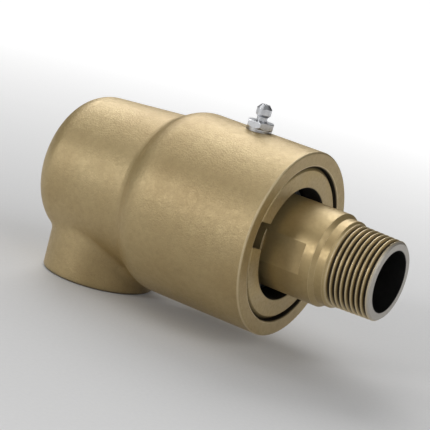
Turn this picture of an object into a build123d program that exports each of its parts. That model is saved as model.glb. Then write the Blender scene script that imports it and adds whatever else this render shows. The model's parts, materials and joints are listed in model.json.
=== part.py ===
import os
from math import cos, degrees, radians, sin, sqrt, tan

from build123d import *

os.makedirs("parts", exist_ok=True)

# A hydraulic rotary union. Its cast housing stays still, and a hollow rotor turns in it
# on two ball bearings. Fluid comes in at the side port, passes through a spring-loaded
# face seal into the rotor, and leaves at the rotor's tapered pipe thread.
# +X runs along the rotor axis to its threaded end, whose face centre is the origin.
# The side port opens towards -Z, and the grease fitting stands opposite, towards +Z.
# Lengths are in millimetres. A name in _r is a radius, one in _x a place on the rotor
# axis, one in _z a height, and one in _len or _depth a length along the piece's own axis.

# Clearances
seat_gap = 0.02
turn_gap = 0.05
film_gap = 0.05
loose_gap = 0.3

# Housing, outside
rotor_reach = 43.3
barrel_wall = 6.1
barrel_rise = 0.3
barrel_edge_round = 0.8
barrel_len = 50.8
shoulder_round = 15.0
shoulder_fillet = 6.0
body_step = 8.0
body_draft = 4.3
body_back_round = 11.8
back_wall = 6.5

# Side port
port_lead = 13.55
port_thread_r = 16.3
port_thread_depth = 1.6
port_thread_turns = 7
port_chamfer = 1.9
boss_wall = 7.4
boss_proud = 5.0
boss_back_land = 0.8
boss_fillet = 5.0
boss_edge_round = 1.0

# Pipe thread, 1 inch NPT
thread_pitch = 2.209
thread_taper = 1 / 32
thread_crest = 0.36
thread_root = 0.1

# Retainer nut
nut_step = 1.0
nut_window = 3.95
nut_len = 9.1
nut_recess = 0.9
nut_chamfer = 1.8
nut_bore_chamfer = 0.4
mouth_chamfer = 0.5
nut_slot_width = 10.5
nut_slot_depth = 6.0
nut_slot_turn = 10.0
thread_relief = 1.0

# Ball bearings, 35 x 62 x 14
bearing_bore_r = 17.5
bearing_section = 13.5
bearing_width = 14.0
ball_r = 3.969
ball_count = 11
race_depth = 1.62
race_conformity = 1.04
ring_chamfer = 0.6
cage_thickness = 2.5
cage_len = 10.4
shield_thickness = 0.5
shield_recess = 0.6
shield_seat_depth = 1.0

# Spacers between the bearings
spacer_len = 9.0
outer_spacer_wall = 2.4
inner_spacer_wall = 3.0
grease_hole_r = 2.2

# Rotor
rotor_bore_r = 12.5
rotor_thread_r = 16.7
rotor_thread_turns = 8
rotor_thread_depth = 1.5
rotor_end_chamfer = 1.0
neck_step = 0.9
neck_len = 3.5
neck_chamfer = 0.8
collar_step = 1.55
collar_chamfer_len = 1.7
flat_depth = 1.05
flat_land = 4.4
flat_depth_inside = 3.0

# Retaining ring on the rotor
retainer_len = 1.5
retainer_groove_depth = 1.0
retainer_width = 3.6
retainer_gap_angle = 30.0
retainer_lug_r = 2.3
retainer_hole_r = 1.0
retainer_land = 1.5

# Face seal
journal_step = 1.5
seat_ring_margin = 2.9
seat_ring_len = 8.5
seat_overhang = 0.8
drive_pin_r = 1.5
drive_pin_depth = 2.0
drive_pin_proud = 2.6
drive_pin_back = 1.9
seat_groove_depth = 1.6
seat_groove_len = 2.4
seat_groove_land = 1.1
carbon_bore_step = 0.5
carbon_nose_step = 0.8
carbon_nose_width = 2.8
carbon_nose_len = 1.5
carbon_flange_gap = 0.8
carbon_flange_len = 3.2
carbon_tail_wall = 4.0
carbon_tail_proud = 0.5
thrust_washer_len = 0.8
thrust_washer_step = 1.6
thrust_washer_gap = 1.1
seal_travel = 1.5
seal_travel_spare = 0.1

# Seal cavity, bulkhead and fluid chamber in the housing
cavity_step = 4.5
bulkhead_len = 6.4
tail_groove_depth = 2.2
tail_groove_len = 2.6
chamber_wall = 7.4
chamber_round = 4.0

# Springs and pins behind the carbon ring
spring_wall = 1.2
spring_count = 6
spring_pocket_r = 2.3
spring_pocket_depth = 3.0
spring_coil_r = 1.75
spring_wire_r = 0.3
spring_turns = 4
stop_pin_r = 1.4
stop_pin_depth = 4.0

# Grease fitting, with a 1/8 inch pipe thread
fitting_shank_r = 5.1
fitting_shank_len = 6.6
fitting_flat = 5.15
fitting_hex_turn = 0.0
fitting_standoff = 0.1
fitting_foot_len = 0.7
fitting_hex_len = 2.8
fitting_neck_r = 2.2
fitting_neck_len = 1.8
fitting_head_r = 3.1
fitting_head_band = 2.4
fitting_head_flare = 1.0
fitting_head_cone = 1.7
fitting_tip_r = 1.7
fitting_bore_r = 1.3
check_ball_r = 1.15
check_hole_r = 0.95
check_wire_r = 0.15
check_turns = 7

# Radii about the rotor axis, from the rotor and the bearings outwards
neck_r = rotor_thread_r + neck_step
collar_r = bearing_bore_r + collar_step
flat_half = collar_r - flat_depth
seat_journal_r = bearing_bore_r - journal_step
bearing_r = bearing_bore_r + bearing_section
ball_circle_r = (bearing_bore_r + bearing_r) / 2
inner_shoulder_r = ball_circle_r - ball_r + race_depth
outer_shoulder_r = ball_circle_r + ball_r - race_depth
race_r = ball_r * race_conformity
nut_bore_r = collar_r + nut_window
nut_r = bearing_r + nut_step
carbon_bore_r = rotor_bore_r + carbon_bore_step
carbon_nose_inner_r = seat_journal_r + carbon_nose_step
carbon_nose_r = carbon_nose_inner_r + carbon_nose_width
carbon_tail_r = carbon_bore_r + carbon_tail_wall
seat_ring_r = carbon_nose_r + seat_ring_margin
cavity_r = bearing_r - cavity_step
carbon_flange_r = cavity_r - carbon_flange_gap
thrust_washer_inner_r = carbon_tail_r + thrust_washer_step
thrust_washer_r = cavity_r - thrust_washer_gap
tail_bore_r = carbon_tail_r + turn_gap
tail_groove_r = carbon_tail_r + tail_groove_depth
spring_circle_r = tail_groove_r + spring_wall + spring_pocket_r

# Radii of the casting and of its side port
barrel_front_r = nut_r + barrel_wall
barrel_rear_r = barrel_front_r + barrel_rise
body_back_r = barrel_rear_r - body_step
chamber_r = body_back_r - chamber_wall
port_bore_r = port_thread_r - port_thread_depth
boss_r = port_thread_r + boss_wall
boss_reach = barrel_rear_r + boss_proud

# Places along the rotor axis, from the front to the back
front_x = -rotor_reach
nut_front_x = front_x - nut_recess
nut_rear_x = nut_front_x - nut_len
front_bearing_x = nut_rear_x - bearing_width / 2
spacer_front_x = nut_rear_x - bearing_width
spacer_mid_x = spacer_front_x - spacer_len / 2
spacer_rear_x = spacer_front_x - spacer_len
rear_bearing_x = spacer_rear_x - bearing_width / 2
bearing_stop_x = spacer_rear_x - bearing_width
retainer_rear_x = bearing_stop_x - retainer_len
seat_front_x = retainer_rear_x - retainer_land
seat_face_x = seat_front_x - seat_ring_len
rotor_rear_x = seat_face_x + seat_overhang
nose_x = seat_face_x - film_gap
flange_front_x = nose_x - carbon_nose_len
flange_rear_x = flange_front_x - carbon_flange_len
washer_rear_x = flange_rear_x - thrust_washer_len
bulkhead_front_x = washer_rear_x - seal_travel - seal_travel_spare
bulkhead_rear_x = bulkhead_front_x - bulkhead_len
tail_rear_x = bulkhead_rear_x - carbon_tail_proud
port_x = bulkhead_rear_x - port_lead
back_x = port_x - boss_r - boss_back_land
chamber_back_x = back_x + back_wall
thread_end_x = -rotor_end_chamfer
thread_start_x = thread_end_x - rotor_thread_turns * thread_pitch
neck_front_x = thread_start_x - neck_chamfer
neck_rear_x = neck_front_x - neck_len
collar_front_x = neck_rear_x - collar_chamfer_len
flat_front_x = collar_front_x - flat_land
flat_rear_x = nut_front_x - flat_depth_inside
fitting_seat_z = barrel_rear_r + fitting_standoff
ball_step = 360 / ball_count


def turned(points):
    """Solid of revolution about the rotor axis, from its outline as (x, radius) points."""
    return revolve(make_face(Polyline(*points, close=True)), Axis.X)


def ring(front, rear, inner_r, outer_r):
    """Plain ring about the rotor axis."""
    return turned([(rear, inner_r), (front, inner_r), (front, outer_r), (rear, outer_r)])


def upright(points):
    """Solid of revolution about Z, from its outline as (radius, z) points."""
    return revolve(make_face(Plane.XZ * Polyline(*points, close=True)), Axis.Z)


def peg(x, y, z, r, length, way=(1, 0, 0)):
    """Round pin from a point, as long as given, along a direction."""
    plane = Plane(origin=(x, y, z), z_dir=way)
    return plane * Cylinder(r, length, align=(Align.CENTER, Align.CENTER, Align.MIN))


def turned_about_x(shape, angle):
    """Turn a shape about the rotor axis."""
    return shape.rotate(Axis.X, angle)


def torus_about_x(x, centre_r, section_r):
    return Pos(x, 0, 0) * Rotation(0, 90, 0) * Torus(centre_r, section_r)


def arc_about(centre, start, end):
    """Short arc between two points that both lie on a circle about centre."""
    radius = (start - centre).length
    middle = centre + ((start - centre) + (end - centre)).normalized() * radius
    return ThreePointArc(start, middle, end)


def thread_points(start, turns, crest_r, root_r, crest_fall, root_fall):
    """Zigzag outline of a thread: (place, radius) points, from its first crest on.

    Each radius falls by its own rate along the thread."""
    flank = (thread_pitch - thread_crest - thread_root) / 2
    one_turn = (
        (0, crest_r, crest_fall),
        (thread_crest, crest_r, crest_fall),
        (thread_crest + flank, root_r, root_fall),
        (thread_crest + flank + thread_root, root_r, root_fall),
    )
    points = []
    for turn in range(turns):
        for offset, radius, fall in one_turn:
            along = turn * thread_pitch + offset
            points.append((start + along, radius - fall * along))
    return points


def housing_outline():
    """Outer outline of the casting: barrel, shoulder and drafted rear body."""
    draft = radians(body_draft)
    along = Vector(cos(draft), sin(draft))
    out = Vector(-sin(draft), cos(draft))
    back_corner = Vector(back_x, body_back_r)

    front_round = Vector(front_x - barrel_edge_round, barrel_front_r - barrel_edge_round)
    face_corner = front_round + Vector(barrel_edge_round, 0)
    barrel_front = front_round + Vector(0, barrel_edge_round)

    crown = Vector(front_x - barrel_len, barrel_rear_r - shoulder_round)
    barrel_rear = crown + Vector(0, shoulder_round)
    reach = shoulder_round + shoulder_fillet
    to_crown = crown - (back_corner + out * shoulder_fillet)
    b = to_crown.dot(along)
    c = to_crown.dot(to_crown) - reach**2
    hollow = back_corner + out * shoulder_fillet + along * (b - sqrt(b * b - c))
    middle = crown + (hollow - crown).normalized() * shoulder_round
    foot = hollow - out * shoulder_fillet

    back_round = Vector(
        back_x + body_back_round,
        body_back_r + body_back_round * tan(draft) - body_back_round / cos(draft),
    )
    body_rear = back_round + out * body_back_round
    back_edge = back_round - Vector(body_back_round, 0)

    return [
        Line((front_x, 0), face_corner),
        arc_about(front_round, face_corner, barrel_front),
        Line(barrel_front, barrel_rear),
        arc_about(crown, barrel_rear, middle),
        arc_about(hollow, middle, foot),
        Line(foot, body_rear),
        arc_about(back_round, body_rear, back_edge),
        Line(back_edge, (back_x, 0)),
        Line((back_x, 0), (front_x, 0)),
    ]


def boss_solid():
    """Round boss of the side port, from the rotor axis down to its face."""
    boss = peg(port_x, 0, 0, boss_r, boss_reach, (0, 0, -1))
    return fillet(boss.edges().sort_by(Axis.Z)[0], boss_edge_round)


def port_hole():
    """Tapped hole of the side port, from the boss's face up into the chamber."""
    face_z = -boss_reach
    top_z = -sqrt(chamber_r**2 - port_bore_r**2)
    first = face_z + port_chamfer
    thread = thread_points(first, port_thread_turns, port_bore_r, port_thread_r, 0, thread_taper)
    outline = [(0, face_z - 1), (port_bore_r + port_chamfer + 1, face_z - 1)]
    outline += [(r, z) for z, r in thread]
    outline += [(port_bore_r, first + port_thread_turns * thread_pitch)]
    outline += [(port_bore_r, top_z), (0, top_z)]
    return Pos(port_x, 0, 0) * upright(outline)


def spring_angles():
    """Places of the seal springs about the rotor axis."""
    return [(i + 0.5) * 360 / spring_count for i in range(spring_count)]


def stop_pin_angles():
    """Two opposite places, each between two springs."""
    return [0, 180]


def spring_circle_peg(angle, x, r, length):
    """Round pin along +X on the spring circle, at an angle about the rotor axis."""
    return turned_about_x(peg(x, 0, spring_circle_r, r, length), angle)


def housing():
    body = revolve(make_face(housing_outline()), Axis.X)
    joined = body + boss_solid()
    boss_top = boss_reach - boss_edge_round
    old_edges = body.edges()
    new_edges = [e for e in joined.edges() if e not in old_edges and e.geom_type != GeomType.LINE]
    seam = [e for e in new_edges if 1 - boss_top < e.center().Z < 0]
    joined = fillet(seam, boss_fillet)
    front_bore = turned(
        [
            (front_x + 1, 0),
            (front_x + 1, nut_r + mouth_chamfer + 1),
            (front_x - mouth_chamfer, nut_r),
            (nut_rear_x - thread_relief, nut_r),
            (nut_rear_x - thread_relief, bearing_r),
            (bearing_stop_x, bearing_r),
            (bearing_stop_x, cavity_r),
            (bulkhead_front_x, cavity_r),
            (bulkhead_front_x, tail_bore_r),
            (bulkhead_rear_x - 1, tail_bore_r),
            (bulkhead_rear_x - 1, 0),
        ]
    )
    chamber = ring(bulkhead_rear_x, chamber_back_x, 0, chamber_r)
    chamber = fillet(chamber.edges().sort_by(Axis.X)[0], chamber_round)
    groove_x = bulkhead_front_x - (bulkhead_len - tail_groove_len) / 2
    groove = ring(groove_x, groove_x - tail_groove_len, tail_bore_r - 1, tail_groove_r)
    shell = joined - front_bore - chamber - groove - port_hole()
    shell -= peg(spacer_mid_x, 0, 0, fitting_shank_r + seat_gap, barrel_rear_r + 5, (0, 0, 1))
    depth = spring_pocket_depth
    for angle in spring_angles():
        shell -= spring_circle_peg(angle, bulkhead_front_x - depth, spring_pocket_r, depth + 1)
    depth = stop_pin_depth
    for angle in stop_pin_angles():
        shell -= spring_circle_peg(angle, bulkhead_front_x - depth, stop_pin_r + seat_gap, depth + 1)
    return shell


def bearing_retainer_nut():
    edge_r = nut_r - seat_gap
    nut = turned(
        [
            (nut_rear_x, nut_bore_r),
            (nut_front_x - nut_bore_chamfer, nut_bore_r),
            (nut_front_x, nut_bore_r + nut_bore_chamfer),
            (nut_front_x, edge_r - nut_chamfer),
            (nut_front_x - nut_chamfer, edge_r),
            (nut_rear_x, edge_r),
        ]
    )
    slot = Pos(nut_front_x, 0, 0) * Box(2 * nut_slot_depth, 2 * nut_r + 2, nut_slot_width)
    return nut - turned_about_x(slot, -nut_slot_turn)


def bearing_outer_ring(x, shield_way):
    """Outer ring about x. shield_way is +1 or -1, the side that holds the shield."""
    front = x + bearing_width / 2
    rear = x - bearing_width / 2
    edge_r = bearing_r - seat_gap
    body = turned(
        [
            (rear, outer_shoulder_r),
            (front, outer_shoulder_r),
            (front, edge_r - ring_chamfer),
            (front - ring_chamfer, edge_r),
            (rear + ring_chamfer, edge_r),
            (rear, edge_r - ring_chamfer),
        ]
    )
    race_centre_r = ball_circle_r + ball_r + turn_gap - race_r
    face = x + shield_way * bearing_width / 2
    step = face - shield_way * (shield_recess + shield_thickness)
    seat_r = outer_shoulder_r + shield_seat_depth
    seat = ring(max(face, step), min(face, step), outer_shoulder_r - 1, seat_r)
    return body - torus_about_x(x, race_centre_r, race_r) - seat


def bearing_inner_ring(x):
    front = x + bearing_width / 2
    rear = x - bearing_width / 2
    bore_r = bearing_bore_r + seat_gap
    body = turned(
        [
            (rear + ring_chamfer, bore_r),
            (front - ring_chamfer, bore_r),
            (front, bore_r + ring_chamfer),
            (front, inner_shoulder_r),
            (rear, inner_shoulder_r),
            (rear, bore_r + ring_chamfer),
        ]
    )
    race_centre_r = ball_circle_r - ball_r - turn_gap + race_r
    return body - torus_about_x(x, race_centre_r, race_r)


def bearing_cage(x):
    half = cage_thickness / 2
    body = ring(x + cage_len / 2, x - cage_len / 2, ball_circle_r - half, ball_circle_r + half)
    pocket = peg(x, 0, 0, ball_r + turn_gap, bearing_r, (0, 0, 1))
    for i in range(ball_count):
        body -= turned_about_x(pocket, i * ball_step)
    return body


def bearing_balls(x):
    ball = Pos(x, 0, ball_circle_r) * Sphere(ball_r)
    return Compound([turned_about_x(ball, i * ball_step) for i in range(ball_count)])


def bearing_shield(x, shield_way):
    """Thin washer that closes one side of a bearing, held in its outer ring."""
    face = x + shield_way * (bearing_width / 2 - shield_recess)
    inner = face - shield_way * shield_thickness
    outer_r = outer_shoulder_r + shield_seat_depth - seat_gap
    return ring(max(face, inner), min(face, inner), inner_shoulder_r + loose_gap, outer_r)


def outer_bearing_spacer():
    outer_r = bearing_r - seat_gap
    body = ring(spacer_front_x, spacer_rear_x, outer_r - outer_spacer_wall, outer_r)
    return body - peg(spacer_mid_x, 0, 0, grease_hole_r, bearing_r + 1, (0, 0, 1))


def inner_bearing_spacer():
    inner_r = bearing_bore_r + seat_gap
    return ring(spacer_front_x, spacer_rear_x, inner_r, inner_r + inner_spacer_wall)


def drive_pin_x():
    return seat_front_x - drive_pin_back


def seat_groove_x():
    """Front edge of the rotor's O-ring groove under the seat ring."""
    return rotor_rear_x + seat_groove_land + seat_groove_len


def rotor_shaft():
    bore_r = rotor_bore_r
    groove_floor_r = bearing_bore_r - retainer_groove_depth
    o_ring_floor_r = seat_journal_r - seat_groove_depth
    groove_front = seat_groove_x()
    root_r = rotor_thread_r - rotor_thread_depth
    taper = thread_taper
    thread = thread_points(thread_start_x, rotor_thread_turns, rotor_thread_r, root_r, taper, taper)
    last_crest_r = rotor_thread_r - taper * rotor_thread_turns * thread_pitch
    outline = [
        (rotor_rear_x, bore_r),
        (rotor_rear_x, seat_journal_r),
        (groove_front - seat_groove_len, seat_journal_r),
        (groove_front - seat_groove_len, o_ring_floor_r),
        (groove_front, o_ring_floor_r),
        (groove_front, seat_journal_r),
        (seat_front_x, seat_journal_r),
        (seat_front_x, bearing_bore_r),
        (retainer_rear_x - seat_gap, bearing_bore_r),
        (retainer_rear_x - seat_gap, groove_floor_r),
        (bearing_stop_x, groove_floor_r),
        (bearing_stop_x, bearing_bore_r),
        (nut_rear_x, bearing_bore_r),
        (nut_rear_x, collar_r),
        (collar_front_x, collar_r),
        (neck_rear_x, neck_r),
        (neck_front_x, neck_r),
    ]
    outline += thread
    outline += [
        (thread_end_x, last_crest_r),
        (0, last_crest_r - rotor_end_chamfer),
        (0, bore_r),
    ]
    shaft = turned(outline)
    flat_len = flat_front_x - flat_rear_x
    for way in (-1, 1):
        cut = Box(flat_len, collar_r, 2 * collar_r, align=(Align.MIN, Align.MIN, Align.CENTER))
        cut = Pos(flat_rear_x, flat_half, 0) * cut
        shaft -= turned_about_x(cut, 90 - 90 * way)
    floor_r = seat_journal_r - drive_pin_depth
    hole_r = drive_pin_r + seat_gap
    for way in (-1, 1):
        shaft -= peg(drive_pin_x(), 0, way * floor_r, hole_r, drive_pin_depth + 1, (0, 0, way))
    return shaft


def shaft_retaining_ring():
    """Open ring in the rotor's groove, with two lugs at its gap."""
    inner_r = bearing_bore_r - retainer_groove_depth + seat_gap
    lug_circle_r = inner_r + retainer_width / 2 + 1
    body = ring(bearing_stop_x, retainer_rear_x, inner_r, inner_r + retainer_width)
    half = retainer_gap_angle / 2
    far = 2 * (inner_r + retainer_width)
    side = far * sin(radians(half))
    top = far * cos(radians(half))
    rear_plane = Plane(origin=(retainer_rear_x - 1, 0, 0), x_dir=(0, 1, 0), z_dir=(1, 0, 0))
    wedge = make_face(rear_plane * Polyline((0, 0), (side, top), (-side, top), close=True))
    body -= extrude(wedge, retainer_len + 2)
    turn = half + degrees(retainer_lug_r / lug_circle_r)
    for way in (-1, 1):
        lug = peg(retainer_rear_x, 0, lug_circle_r, retainer_lug_r, retainer_len)
        hole = peg(retainer_rear_x - 1, 0, lug_circle_r, retainer_hole_r, retainer_len + 2)
        body += turned_about_x(lug, way * turn)
        body -= turned_about_x(hole, way * turn)
    inside = ring(bearing_stop_x + 1, retainer_rear_x - 1, 0, inner_r)
    return body - inside


def rotating_seal_ring():
    inner_r = seat_journal_r + seat_gap
    body = ring(seat_front_x, seat_face_x, inner_r, seat_ring_r)
    slot_len = drive_pin_back + drive_pin_r + turn_gap
    slot_width = 2 * (drive_pin_r + turn_gap)
    slot_height = 2 * (seat_journal_r + drive_pin_proud + turn_gap)
    slot = Box(slot_len, slot_width, slot_height, align=(Align.MIN, Align.CENTER, Align.CENTER))
    return body - Pos(seat_front_x - slot_len, 0, 0) * slot


def rotating_seal_o_ring():
    room = seat_groove_depth + seat_gap
    centre_r = seat_journal_r + seat_gap - room / 2
    return torus_about_x(seat_groove_x() - seat_groove_len / 2, centre_r, room / 2 - seat_gap)


def seal_drive_pins():
    floor_r = seat_journal_r - drive_pin_depth
    length = drive_pin_depth + drive_pin_proud
    x = drive_pin_x()
    return Compound([peg(x, 0, way * floor_r, drive_pin_r, length, (0, 0, way)) for way in (-1, 1)])


def carbon_seal_ring():
    body = turned(
        [
            (tail_rear_x, carbon_bore_r),
            (flange_front_x, carbon_bore_r),
            (flange_front_x, carbon_nose_inner_r),
            (nose_x, carbon_nose_inner_r),
            (nose_x, carbon_nose_r),
            (flange_front_x, carbon_nose_r),
            (flange_front_x, carbon_flange_r),
            (flange_rear_x, carbon_flange_r),
            (flange_rear_x, carbon_tail_r),
            (tail_rear_x, carbon_tail_r),
        ]
    )
    for angle in stop_pin_angles():
        body -= spring_circle_peg(angle, flange_rear_x - 1, stop_pin_r + loose_gap, carbon_flange_len + 2)
    return body


def carbon_seal_o_ring():
    room = tail_groove_r - tail_bore_r
    x = bulkhead_front_x - bulkhead_len / 2
    return torus_about_x(x, tail_bore_r + room / 2, room / 2 - seat_gap)


def seal_thrust_washer():
    body = ring(flange_rear_x, washer_rear_x, thrust_washer_inner_r, thrust_washer_r)
    for angle in stop_pin_angles():
        body -= spring_circle_peg(angle, washer_rear_x - 1, stop_pin_r + loose_gap, thrust_washer_len + 2)
    return body


def coil(length, coil_r, wire_r, turns):
    """Compression spring along +Z from z = 0, with its wire inside that length."""
    path = Helix((length - 2 * wire_r) / turns, length - 2 * wire_r, coil_r, center=(0, 0, wire_r))
    section = Plane(origin=path @ 0, z_dir=path % 0) * Circle(wire_r)
    return sweep(section, path=path, is_frenet=True)


def seal_springs():
    length = spring_pocket_depth + seal_travel + seal_travel_spare
    floor_x = bulkhead_front_x - spring_pocket_depth
    spring = Plane(origin=(floor_x, 0, spring_circle_r), z_dir=(1, 0, 0)) * coil(
        length, spring_coil_r, spring_wire_r, spring_turns
    )
    return Compound([turned_about_x(spring, angle) for angle in spring_angles()])


def seal_anti_rotation_pins():
    length = stop_pin_depth + flange_front_x - bulkhead_front_x - seal_travel
    start = bulkhead_front_x - stop_pin_depth
    return Compound([spring_circle_peg(angle, start, stop_pin_r, length) for angle in stop_pin_angles()])


def fitting_heights():
    """Heights of the grease fitting's steps above the rotor axis."""
    foot = fitting_seat_z
    hex_low = foot + fitting_foot_len
    hex_top = hex_low + fitting_hex_len
    neck_top = hex_top + fitting_neck_len
    head_low = neck_top + fitting_head_flare
    head_high = head_low + fitting_head_band
    tip = head_high + fitting_head_cone
    return foot, hex_low, hex_top, neck_top, head_low, head_high, tip


def check_ball_z():
    """Height of the check ball's centre. Its top is level with the fitting's tip."""
    return fitting_heights()[-1] - check_ball_r


def grease_fitting_body():
    foot, hex_low, hex_top, neck_top, head_low, head_high, tip = fitting_heights()
    shank_low = foot - fitting_shank_len
    body = upright(
        [
            (0, shank_low),
            (fitting_shank_r - 0.5, shank_low),
            (fitting_shank_r, shank_low + 0.5),
            (fitting_shank_r, foot),
            (fitting_flat, foot),
            (fitting_flat, hex_low),
            (fitting_neck_r, hex_low),
            (fitting_neck_r, neck_top),
            (fitting_head_r, head_low),
            (fitting_head_r, head_high),
            (fitting_tip_r, tip),
            (0, tip),
        ]
    )
    hexagon = extrude(RegularPolygon(fitting_flat, 6, major_radius=False), fitting_hex_len)
    corner_r = fitting_flat / cos(radians(30))
    bevel = corner_r - fitting_flat
    crown = upright(
        [
            (0, hex_low),
            (fitting_flat, hex_low),
            (corner_r, hex_low + bevel),
            (corner_r, hex_top - bevel / 2),
            (fitting_flat, hex_top),
            (0, hex_top),
        ]
    )
    body += (Pos(0, 0, hex_low) * Rotation(0, 0, fitting_hex_turn) * hexagon) & crown
    ball_z = check_ball_z()
    bore = peg(0, 0, shank_low - 1, fitting_bore_r, ball_z - shank_low + 1, (0, 0, 1))
    throat = peg(0, 0, ball_z, check_hole_r, tip - ball_z + 1, (0, 0, 1))
    seat = Pos(0, 0, ball_z) * Sphere(check_ball_r + turn_gap)
    return Pos(spacer_mid_x, 0, 0) * (body - bore - throat - seat)


def grease_fitting_ball():
    return Pos(spacer_mid_x, 0, check_ball_z()) * Sphere(check_ball_r)


def grease_fitting_spring():
    low = fitting_seat_z - fitting_shank_len + 1
    high = check_ball_z() - check_ball_r - seat_gap
    coil_r = fitting_bore_r - check_wire_r - turn_gap
    return Pos(spacer_mid_x, 0, low) * coil(high - low, coil_r, check_wire_r, check_turns)


parts = {
    "housing": housing(),
    "bearing_retainer_nut": bearing_retainer_nut(),
    "outer_bearing_spacer": outer_bearing_spacer(),
    "inner_bearing_spacer": inner_bearing_spacer(),
    "rotor_shaft": rotor_shaft(),
    "shaft_retaining_ring": shaft_retaining_ring(),
    "rotating_seal_ring": rotating_seal_ring(),
    "rotating_seal_o_ring": rotating_seal_o_ring(),
    "seal_drive_pins": seal_drive_pins(),
    "carbon_seal_ring": carbon_seal_ring(),
    "carbon_seal_o_ring": carbon_seal_o_ring(),
    "seal_thrust_washer": seal_thrust_washer(),
    "seal_springs": seal_springs(),
    "seal_anti_rotation_pins": seal_anti_rotation_pins(),
    "grease_fitting_body": grease_fitting_body(),
    "grease_fitting_ball": grease_fitting_ball(),
    "grease_fitting_spring": grease_fitting_spring(),
}
for name, x, shield_way in (("front", front_bearing_x, 1), ("rear", rear_bearing_x, -1)):
    parts[f"{name}_bearing_outer_ring"] = bearing_outer_ring(x, shield_way)
    parts[f"{name}_bearing_inner_ring"] = bearing_inner_ring(x)
    parts[f"{name}_bearing_cage"] = bearing_cage(x)
    parts[f"{name}_bearing_balls"] = bearing_balls(x)
    parts[f"{name}_bearing_shield"] = bearing_shield(x, shield_way)

for node, shape in parts.items():
    export_step(shape, f"parts/{node}.step")
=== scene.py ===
"""Looks of a hydraulic rotary union: finishes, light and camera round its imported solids."""

import json
from math import cos, radians, sin, sqrt

import bmesh
import bpy
from mathutils import Matrix, Vector


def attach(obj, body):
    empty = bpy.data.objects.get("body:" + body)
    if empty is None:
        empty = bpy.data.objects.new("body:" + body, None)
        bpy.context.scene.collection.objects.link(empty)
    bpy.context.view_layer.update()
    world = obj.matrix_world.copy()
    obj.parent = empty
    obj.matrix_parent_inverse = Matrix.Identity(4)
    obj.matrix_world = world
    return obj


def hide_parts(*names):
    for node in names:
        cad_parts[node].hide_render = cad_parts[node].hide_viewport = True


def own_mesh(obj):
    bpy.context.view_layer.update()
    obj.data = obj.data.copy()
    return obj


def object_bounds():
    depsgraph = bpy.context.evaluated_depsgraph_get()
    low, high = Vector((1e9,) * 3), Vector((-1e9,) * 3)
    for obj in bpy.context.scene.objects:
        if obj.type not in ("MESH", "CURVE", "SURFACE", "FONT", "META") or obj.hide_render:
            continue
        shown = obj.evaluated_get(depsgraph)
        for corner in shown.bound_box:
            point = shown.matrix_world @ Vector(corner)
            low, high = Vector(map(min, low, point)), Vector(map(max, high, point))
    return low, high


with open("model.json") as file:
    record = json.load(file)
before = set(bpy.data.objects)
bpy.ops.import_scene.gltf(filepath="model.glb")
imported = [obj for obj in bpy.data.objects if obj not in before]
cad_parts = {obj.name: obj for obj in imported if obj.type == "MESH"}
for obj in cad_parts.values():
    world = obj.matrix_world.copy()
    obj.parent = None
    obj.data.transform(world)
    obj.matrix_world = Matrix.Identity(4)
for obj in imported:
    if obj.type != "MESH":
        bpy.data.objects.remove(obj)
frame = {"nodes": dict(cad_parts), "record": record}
cad_low, cad_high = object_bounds()
nodes = frame["nodes"]
mm = 0.001

# Camera: where the photograph was taken from, in the part's own frame
camera_place = Vector((0.23542, -0.54957, 0.12378))
camera_right = Vector((0.81241626, 0.52526688, 0.25312945))
camera_up = Vector((-0.31608356, 0.03193746, 0.94819364))
camera_back = Vector((0.4899704, -0.85033799, 0.19197474))
picture_pixels = 430
focal_pixels = 1600
sensor_width = 36.0

# Studio: the floor is a plain sheet just below the part, lit and a little brighter further away
floor_drop = 0.05 * mm
floor_half = 12.0
floor_near = 0.10
floor_far = 0.80
floor_glow_near = 0.06
floor_glow_gain = 0.34
floor_fibre = 1.5 * mm

# Sky strength near the ground and high up, and the heights between which it changes
sky_low = 0.02
sky_high = 0.12
sky_low_height = 0.1
sky_high_height = 0.8

# Lamps: angle round the rotor axis, strength, width in degrees and share of the distance towards +X
lamps = {
    "back_box": (127, 1.12, 36, -0.49),
    "top_box": (86, 0.74, 50, -0.49),
    "front_box": (18, 0.80, 14, -0.49),
    "side_box": (62, 0.85, 50, 0.8),
}

# Colours, as linear red, green, blue
bronze = (0.428, 0.300, 0.112)
bronze_dark = (0.280, 0.184, 0.058)
bronze_pale = (0.515, 0.385, 0.168)
nut_bronze = (0.500, 0.390, 0.215)
# Edge colour: partly real wear, partly a painted highlight on edges, rims and thread crests
worn_edge_highlight = (0.790, 0.650, 0.390)
end_steel = (0.560, 0.530, 0.480)
# Near black for the housing mouth and the rotor bore, partly dark bare metal and partly painted shade,
# and for the nut's bore and back, painted shade
dark_bore_and_shade = (0.012, 0.011, 0.010)
# Painted shade: near black laid into grooves, corners and thread roots
painted_shade_colour = (0.030, 0.021, 0.012)
floor_tone = (0.66, 0.66, 0.66)
floor_pale = (0.86, 0.86, 0.86)

# Where the finishes change, measured on the solids
housing_face_x = -43.3 * mm
barrel_r = 38.4 * mm
mouth_r = 32.0 * mm
mouth_depth = 11.7 * mm
nut_bore_r = 23.0 * mm
nut_face_x = -44.2 * mm
rotor_bore_r = 12.5 * mm
rotor_thread_x = -18.7 * mm

# Rotor thread: crest radius at the end face, its growth per length, and depths below the crest
thread_small_r = 16.12 * mm
thread_taper = 1 / 32
thread_top_depth = 0.15 * mm
thread_flank_depth = 0.45 * mm
thread_root_depth = 1.0 * mm

# Share of metal in the bronze finishes, and the refraction that sets their shine
casting_metal = 0.52
rotor_metal = 0.55
nut_metal = 0.50
bronze_ior = 1.8

# The values that most of a noise pattern lies between
noise_low = 0.3
noise_high = 0.7

# Turned surfaces: tool marks per metre
lathe_marks = 4200.0


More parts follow.
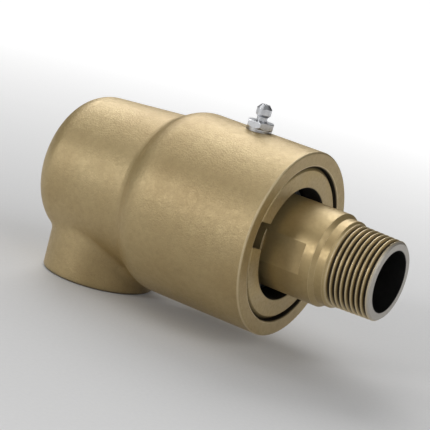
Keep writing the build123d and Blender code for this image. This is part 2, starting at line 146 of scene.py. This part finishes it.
class Tree:
    """One material's node tree, built by short calls."""

    def __init__(self, name):
        self.material = bpy.data.materials.new(name)
        self.material.use_nodes = True
        self.nodes = self.material.node_tree.nodes
        self.links = self.material.node_tree.links
        self.nodes.clear()
        self.shader = self.nodes.new("ShaderNodeBsdfPrincipled")
        output = self.nodes.new("ShaderNodeOutputMaterial")
        self.links.new(self.shader.outputs["BSDF"], output.inputs["Surface"])
        self.place = self.nodes.new("ShaderNodeTexCoord").outputs["Object"]

    def set(self, node, name, value):
        """Links a socket, or sets its constant, by its name or number."""
        socket = node.inputs[name]
        if isinstance(value, bpy.types.NodeSocket):
            self.links.new(value, socket)
        elif isinstance(value, tuple) and socket.type == "RGBA":
            socket.default_value = (*value, 1)
        else:
            socket.default_value = value

    def add(self, kind, output, settings=None, **inputs):
        """New node with its settings and inputs, as the output that is asked for."""
        node = self.nodes.new(kind)
        for name, value in (settings or {}).items():
            setattr(node, name, value)
        for name, value in inputs.items():
            self.set(node, name.replace("_", " "), value)
        return node.outputs[output]

    def noise(self, size, detail=3.0, roughness=0.5):
        """Noise from 0 to 1 whose grains are about size metres across."""
        return self.add(
            "ShaderNodeTexNoise",
            "Fac",
            Vector=self.place,
            Scale=1 / size,
            Detail=detail,
            Roughness=roughness,
        )

    def maths(self, operation, a, b=0.0, c=0.0):
        node = self.nodes.new("ShaderNodeMath")
        node.operation = operation
        for i, value in enumerate((a, b, c)):
            self.set(node, i, value)
        return node.outputs[0]

    def spread(self, value, low, high, to_low=0.0, to_high=1.0):
        """Value carried from one range to another and held inside it."""
        node = self.nodes.new("ShaderNodeMapRange")
        for i, item in enumerate((value, low, high, to_low, to_high)):
            self.set(node, i, item)
        return node.outputs[0]

    def blend(self, factor, first, second):
        """First colour where the factor is 0, second where it is 1."""
        node = self.nodes.new("ShaderNodeMix")
        node.data_type = "RGBA"
        # A mix node has sockets for each kind of data; its two colours are numbers 6 and 7
        self.set(node, 0, factor)
        self.set(node, 6, first)
        self.set(node, 7, second)
        return node.outputs[2]

    def fade(self, first, second, value, low, high, share=1.0):
        """First colour turned towards the second as a value goes from low to high, at most by a share."""
        return self.blend(self.spread(value, low, high, 0.0, share), first, second)

    def tint(self, first, second, mask, share):
        """First colour turned towards the second where a mask is near 1, at most by a share."""
        return self.blend(self.maths("MULTIPLY", mask, share), first, second)

    def patches(self, first, second, size, detail):
        """Broad soft patches of two colours."""
        return self.fade(first, second, self.noise(size, detail), noise_low, noise_high)

    def uneven(self, value, low, high):
        """Low to high as a noise goes over most of its range."""
        return self.spread(value, noise_low, noise_high, low, high)

    def bump(self, height, depth, strength=1.0, normal=None):
        node = self.nodes.new("ShaderNodeBump")
        self.set(node, "Height", height)
        self.set(node, "Distance", depth)
        self.set(node, "Strength", strength)
        if normal is not None:
            self.set(node, "Normal", normal)
        return node.outputs["Normal"]

    def edges(self, radius):
        """Near 1 on sharp outer edges, 0 on flat stretches; and the softened normal."""
        soft = self.add("ShaderNodeBevel", "Normal", {"samples": 6}, Radius=radius)
        plain = self.nodes.new("ShaderNodeNewGeometry").outputs["Normal"]
        node = self.nodes.new("ShaderNodeVectorMath")
        node.operation = "DOT_PRODUCT"
        self.set(node, 0, soft)
        self.set(node, 1, plain)
        return self.spread(node.outputs["Value"], low=1.0, high=0.90), soft

    def occlusion_shade_mask(self, distance):
        """Near 1 deep in grooves and corners, 0 in the open, from ambient occlusion; the finishes paint
        shade there.
        """
        open_share = self.add("ShaderNodeAmbientOcclusion", "AO", {"samples": 8}, Distance=distance)
        return self.spread(open_share, low=0.72, high=0.25)

    def radius_about_x(self):
        """Distance from the rotor axis, and place along it."""
        parts = self.nodes.new("ShaderNodeSeparateXYZ")
        self.set(parts, 0, self.place)
        y, z = parts.outputs["Y"], parts.outputs["Z"]
        square = self.maths("ADD", self.maths("MULTIPLY", y, y), self.maths("MULTIPLY", z, z))
        return self.maths("SQRT", square), parts.outputs["X"]

    def finish(self, **inputs):
        for name, value in inputs.items():
            self.set(self.shader, name.replace("_", " "), value)
        return self.material


def cast_paint():
    """Satin bronze paint over a sand casting, with painted shade in its corners, a mouth painted near
    black, partly as dark bare metal and partly as painted shade, and front rims lightened partly as wear
    and partly as a painted highlight.
    """
    t = Tree("cast_paint")
    mottle = t.noise(2.2 * mm, detail=5, roughness=0.6)
    speck = t.noise(0.45 * mm, detail=3, roughness=0.7)
    colour = t.patches(bronze, bronze_pale, size=26 * mm, detail=2)
    colour = t.fade(colour, bronze_dark, mottle, low=0.35, high=0.75, share=0.30)
    colour = t.fade(colour, bronze_pale, speck, low=0.56, high=0.72, share=0.6)
    colour = t.fade(colour, bronze_dark, speck, low=0.44, high=0.30, share=0.6)
    # Edges lightened partly as wear and partly as a painted highlight
    wear_and_highlight, soft_normal = t.edges(radius=0.5 * mm)
    colour = t.tint(colour, worn_edge_highlight, wear_and_highlight, share=0.8)
    # Painted shade in the casting's grooves and corners
    colour = t.tint(colour, painted_shade_colour, t.occlusion_shade_mask(distance=5 * mm), share=0.75)

    radius, along = t.radius_about_x()
    # The mouth's inner wall painted near black: partly dark bare metal, partly painted shade
    within = t.spread(radius, mouth_r + 0.35 * mm, mouth_r + 0.15 * mm)
    below_face = t.spread(along, housing_face_x - 0.1 * mm, housing_face_x - 0.6 * mm)
    mouth_end_x = housing_face_x - mouth_depth
    above_end = t.spread(along, mouth_end_x - 1.0 * mm, mouth_end_x)
    mouth = t.maths("MULTIPLY", t.maths("MULTIPLY", within, below_face), above_end)
    colour = t.blend(mouth, colour, dark_bore_and_shade)

    # Front rim and lip lightened partly as wear and partly as a painted highlight
    at_face = t.spread(along, housing_face_x - 1.0 * mm, housing_face_x - 0.6 * mm)
    rim = t.spread(radius, barrel_r - 0.9 * mm, barrel_r - 0.5 * mm)
    lip_outside = t.spread(radius, mouth_r + 0.75 * mm, mouth_r + 0.6 * mm)
    lip_inside = t.spread(radius, mouth_r + 0.2 * mm, mouth_r + 0.3 * mm)
    lip = t.maths("MULTIPLY", lip_outside, lip_inside)
    rim_wear_and_highlight = t.maths("MULTIPLY", t.maths("MAXIMUM", rim, lip), at_face)
    colour = t.tint(colour, worn_edge_highlight, rim_wear_and_highlight, share=0.6)

    normal = t.bump(t.noise(7 * mm, detail=2), depth=0.25 * mm, strength=0.6, normal=soft_normal)
    normal = t.bump(t.noise(0.8 * mm, detail=5, roughness=0.65), depth=0.17 * mm, normal=normal)
    return t.finish(
        Base_Color=colour,
        Metallic=casting_metal,
        Roughness=t.uneven(mottle, 0.40, 0.50),
        Normal=normal,
        IOR=bronze_ior,
        Specular_IOR_Level=1.0,
    )


def turned_bronze():
    """Satin bronze plating on turned steel, with thread crests lightened partly as wear and partly as a
    painted highlight, painted shade in its grooves and thread roots, a bare end and a bore painted near
    black, partly as dark bare metal and partly as painted shade.
    """
    t = Tree("turned_bronze")
    radius, along = t.radius_about_x()
    lathe = t.add(
        "ShaderNodeTexNoise",
        "Fac",
        {"noise_dimensions": "1D"},
        W=along,
        Scale=lathe_marks,
        Detail=2.0,
    )
    mottle = t.noise(1.6 * mm, detail=5, roughness=0.6)
    colour = t.patches(bronze, bronze_pale, size=18 * mm, detail=2)
    colour = t.fade(colour, bronze_dark, mottle, low=0.4, high=0.8, share=0.3)
    colour = t.fade(colour, bronze_pale, lathe, low=0.35, high=0.65, share=0.12)
    # Edges lightened partly as wear and partly as a painted highlight
    wear_and_highlight, soft_normal = t.edges(radius=0.35 * mm)
    colour = t.tint(colour, worn_edge_highlight, wear_and_highlight, share=0.7)
    # Painted shade in the rotor's grooves and corners
    colour = t.tint(colour, painted_shade_colour, t.occlusion_shade_mask(distance=1.6 * mm), share=0.85)

    # Thread roots darkened as painted shade; thread crests lightened partly as wear and partly as a
    # painted highlight
    crest = t.maths("MULTIPLY_ADD", along, -thread_taper, thread_small_r)
    below = t.maths("SUBTRACT", crest, radius)
    threaded = t.spread(along, rotor_thread_x - 0.3 * mm, rotor_thread_x + 0.2 * mm)
    root = t.maths("MULTIPLY", t.spread(below, thread_flank_depth, thread_root_depth), threaded)
    colour = t.tint(colour, painted_shade_colour, root, share=0.85)
    top = t.maths("MULTIPLY", t.spread(below, thread_flank_depth, thread_top_depth), threaded)
    colour = t.tint(colour, worn_edge_highlight, top, share=0.6)
    colour = t.fade(colour, end_steel, along, low=-1.1 * mm, high=-0.5 * mm, share=0.75)
    # The bore painted near black: partly dark bare metal, partly painted shade
    inside = t.spread(radius, rotor_bore_r + 0.25 * mm, rotor_bore_r + 0.05 * mm)
    colour = t.blend(inside, colour, dark_bore_and_shade)

    normal = t.bump(lathe, depth=0.02 * mm, strength=0.5, normal=soft_normal)
    normal = t.bump(mottle, depth=0.05 * mm, strength=0.5, normal=normal)
    return t.finish(
        Base_Color=colour,
        Metallic=rotor_metal,
        Roughness=t.uneven(mottle, 0.38, 0.48),
        Normal=normal,
        IOR=bronze_ior,
        Specular_IOR_Level=0.9,
    )


def nut_bronze_plate():
    """Bronze plating of the ring nut, with painted shade in its bore, behind its face and in its corners,
    and edges lightened partly as wear and partly as a painted highlight.
    """
    t = Tree("nut_bronze_plate")
    mottle = t.noise(1.2 * mm, detail=5, roughness=0.65)
    colour = t.patches(nut_bronze, bronze_pale, size=12 * mm, detail=3)
    colour = t.fade(colour, bronze_dark, mottle, low=0.4, high=0.8, share=0.4)
    # Edges lightened partly as wear and partly as a painted highlight
    wear_and_highlight, soft_normal = t.edges(radius=0.4 * mm)
    colour = t.tint(colour, bronze_pale, wear_and_highlight, share=0.6)
    # Painted shade in the nut's grooves and corners
    colour = t.tint(colour, painted_shade_colour, t.occlusion_shade_mask(distance=3 * mm), share=0.8)

    radius, along = t.radius_about_x()
    # Painted shade: the nut's bore and the faces behind its front painted near black, with no metal and a
    # rough finish
    in_bore = t.spread(radius, nut_bore_r + 0.45 * mm, nut_bore_r + 0.15 * mm)
    behind = t.spread(along, nut_face_x - 0.8 * mm, nut_face_x - 3.3 * mm)
    nut_shade_zone = t.maths("MAXIMUM", in_bore, behind)
    colour = t.blend(nut_shade_zone, colour, dark_bore_and_shade)

    sheen = t.uneven(mottle, 0.38, 0.50)
    return t.finish(
        Base_Color=colour,
        Metallic=t.spread(nut_shade_zone, 0.0, 1.0, nut_metal, 0.0),
        Roughness=t.maths("MAXIMUM", sheen, t.maths("MULTIPLY", nut_shade_zone, 0.75)),
        Normal=t.bump(mottle, depth=0.10 * mm, strength=0.6, normal=soft_normal),
        Specular_IOR_Level=0.5,
    )


def bright_metal(name, colour, roughness, grain=0.8 * mm, corner_shade=(0.05, 0.05, 0.05)):
    """Bare or plated metal with a fine grain, and painted shade darkening its corners."""
    t = Tree(name)
    mottle = t.noise(grain, detail=4, roughness=0.6)
    shaded = tuple(channel * 0.6 for channel in colour)
    base = t.fade(colour, shaded, mottle, low=0.35, high=0.8, share=0.35)
    _, soft_normal = t.edges(radius=0.2 * mm)
    # Painted shade in the corners
    base = t.tint(base, corner_shade, t.occlusion_shade_mask(distance=1.5 * mm), share=0.6)
    return t.finish(
        Base_Color=base,
        Metallic=1.0,
        Roughness=t.uneven(mottle, roughness * 0.8, roughness * 1.3),
        Normal=t.bump(mottle, depth=0.02 * mm, strength=0.5, normal=soft_normal),
    )


def dull_solid(name, colour, roughness, grain):
    """Rubber, carbon or ceramic: dark, with a fine uneven sheen."""
    t = Tree(name)
    mottle = t.noise(grain, detail=4, roughness=0.6)
    lighter = tuple(channel * 1.8 for channel in colour)
    return t.finish(
        Base_Color=t.fade(colour, lighter, mottle, low=0.3, high=0.8),
        Roughness=t.uneven(mottle, roughness * 0.8, roughness * 1.2),
        Normal=t.bump(mottle, depth=0.02 * mm, strength=0.4),
    )


def floor_paper():
    """Pale floor, paler away from the part and clear from below.

    It glows a little where the camera or a shiny surface sees it."""
    t = Tree("floor_paper")
    node = t.nodes.new("ShaderNodeVectorMath")
    node.operation = "DISTANCE"
    t.set(node, 0, t.place)
    t.set(node, 1, tuple((cad_low + cad_high) / 2))
    away = t.spread(node.outputs["Value"], floor_near, floor_far)
    tone = t.blend(away, floor_tone, floor_pale)
    fibre = t.noise(floor_fibre, detail=4)
    tone = t.fade(tone, (0.0, 0.0, 0.0), fibre, noise_low, noise_high, share=0.03)

    ray = t.nodes.new("ShaderNodeLightPath").outputs
    seen = t.maths("MAXIMUM", ray["Is Camera Ray"], ray["Is Glossy Ray"])
    seen = t.maths("MAXIMUM", seen, ray["Is Transmission Ray"])
    glow = t.maths("MULTIPLY_ADD", away, floor_glow_gain, floor_glow_near)
    underside = t.nodes.new("ShaderNodeNewGeometry").outputs["Backfacing"]
    return t.finish(
        Base_Color=tone,
        Roughness=0.9,
        Specular_IOR_Level=0.0,
        Emission_Color=(1.0, 1.0, 1.0),
        Emission_Strength=t.maths("MULTIPLY", seen, glow),
        Alpha=t.maths("SUBTRACT", 1.0, underside),
    )


def dress(name, material):
    """Gives a CAD node its finish."""
    for slot in nodes[name].material_slots:
        slot.material = material


def make_floor():
    """One large square just below the part."""
    mesh = bpy.data.meshes.new("floor")
    shape = bmesh.new()
    height = cad_low.z - floor_drop
    corners = [(-1, -1), (1, -1), (1, 1), (-1, 1)]
    shape.faces.new([shape.verts.new((x * floor_half, y * floor_half, height)) for x, y in corners])
    shape.to_mesh(mesh)
    shape.free()
    floor = bpy.data.objects.new("floor", mesh)
    bpy.context.collection.objects.link(floor)
    mesh.materials.append(floor_paper())


def pressed_spring(node):
    """Copy of a spring's CAD node, shown in its place and hung on the housing body."""
    solid = nodes[node]
    mesh = solid.data.copy()
    mesh.transform(solid.matrix_world)
    wire = bpy.data.objects.new(node + "_wire", mesh)
    bpy.context.collection.objects.link(wire)
    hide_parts(node)
    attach(wire, "housing_body")
    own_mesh(wire)


def soft_lamp(name, turn, strength, width, along):
    """Broad distant lamp. Its turn is its angle about the rotor axis, from the front (-Y) upwards."""
    lamp = bpy.data.lights.new(name, "SUN")
    lamp.energy = strength
    lamp.angle = radians(width)
    across = sqrt(1 - along * along)
    source = Vector((along, -across * cos(radians(turn)), across * sin(radians(turn))))
    rig = bpy.data.objects.new(name, lamp)
    rig.rotation_mode = "QUATERNION"
    rig.rotation_quaternion = (-source).to_track_quat("-Z", "Y")
    bpy.context.collection.objects.link(rig)


def make_world():
    """Plain grey sky, smoothly brighter higher up."""
    world = bpy.data.worlds.new("studio")
    bpy.context.scene.world = world
    world.use_nodes = True
    tree = world.node_tree
    back = tree.nodes["Background"]
    back.inputs["Color"].default_value = (1, 1, 1, 1)
    way = tree.nodes.new("ShaderNodeTexCoord")
    parts = tree.nodes.new("ShaderNodeSeparateXYZ")
    level = tree.nodes.new("ShaderNodeMapRange")
    level.interpolation_type = "SMOOTHSTEP"
    tree.links.new(way.outputs["Generated"], parts.inputs[0])
    tree.links.new(parts.outputs["Z"], level.inputs[0])
    for i, value in enumerate((sky_low_height, sky_high_height, sky_low, sky_high), start=1):
        level.inputs[i].default_value = value
    tree.links.new(level.outputs[0], back.inputs["Strength"])


def make_camera():
    """Camera at the photograph's place and angle, with everything sharp."""
    data = bpy.data.cameras.new("camera")
    data.sensor_width = sensor_width
    data.lens = sensor_width * focal_pixels / picture_pixels
    data.clip_start = 0.01
    data.clip_end = 100
    camera = bpy.data.objects.new("camera", data)
    turn = Matrix((camera_right, camera_up, camera_back)).transposed()
    camera.matrix_world = Matrix.Translation(camera_place) @ turn.to_4x4()
    bpy.context.collection.objects.link(camera)
    bpy.context.scene.camera = camera


steel = bright_metal("bearing_steel", (0.55, 0.55, 0.56), roughness=0.30)
finishes = {
    "ball_steel": bright_metal("ball_steel", (0.75, 0.75, 0.77), roughness=0.12),
    "spring_steel": bright_metal("spring_steel", (0.40, 0.40, 0.42), roughness=0.35),
    "fitting_zinc": bright_metal(
        "zinc_plate",
        (0.64, 0.65, 0.67),
        roughness=0.34,
        grain=0.6 * mm,
        corner_shade=(0.12, 0.12, 0.13),
    ),
    # Near-black shield colour: painted shade for the steel shield inside the housing
    "shield_steel": bright_metal("shield_steel", (0.035, 0.035, 0.037), roughness=0.55),
    "cage_brass": bright_metal("cage_brass", (0.70, 0.50, 0.22), roughness=0.32),
    "seal_carbon": dull_solid("seal_carbon", (0.020, 0.020, 0.022), roughness=0.35, grain=0.3 * mm),
    "seal_ceramic": dull_solid("seal_ceramic", (0.045, 0.045, 0.050), roughness=0.22, grain=0.3 * mm),
    "seal_rubber": dull_solid("seal_rubber", (0.012, 0.012, 0.012), roughness=0.60, grain=0.5 * mm),
    "bearing_steel": steel,
    "spacer_steel": steel,
    "housing_paint": cast_paint(),
    "rotor_plating": turned_bronze(),
    "nut_plating": nut_bronze_plate(),
}
for part in frame["record"]["subparts"]:
    dress(part["node"], finishes[part["material_slot"]])

pressed_spring("seal_springs")
pressed_spring("grease_fitting_spring")

make_floor()
make_world()
for name, setting in lamps.items():
    soft_lamp(name, *setting)
make_camera()
bpy.context.scene.view_settings.view_transform = "Standard"
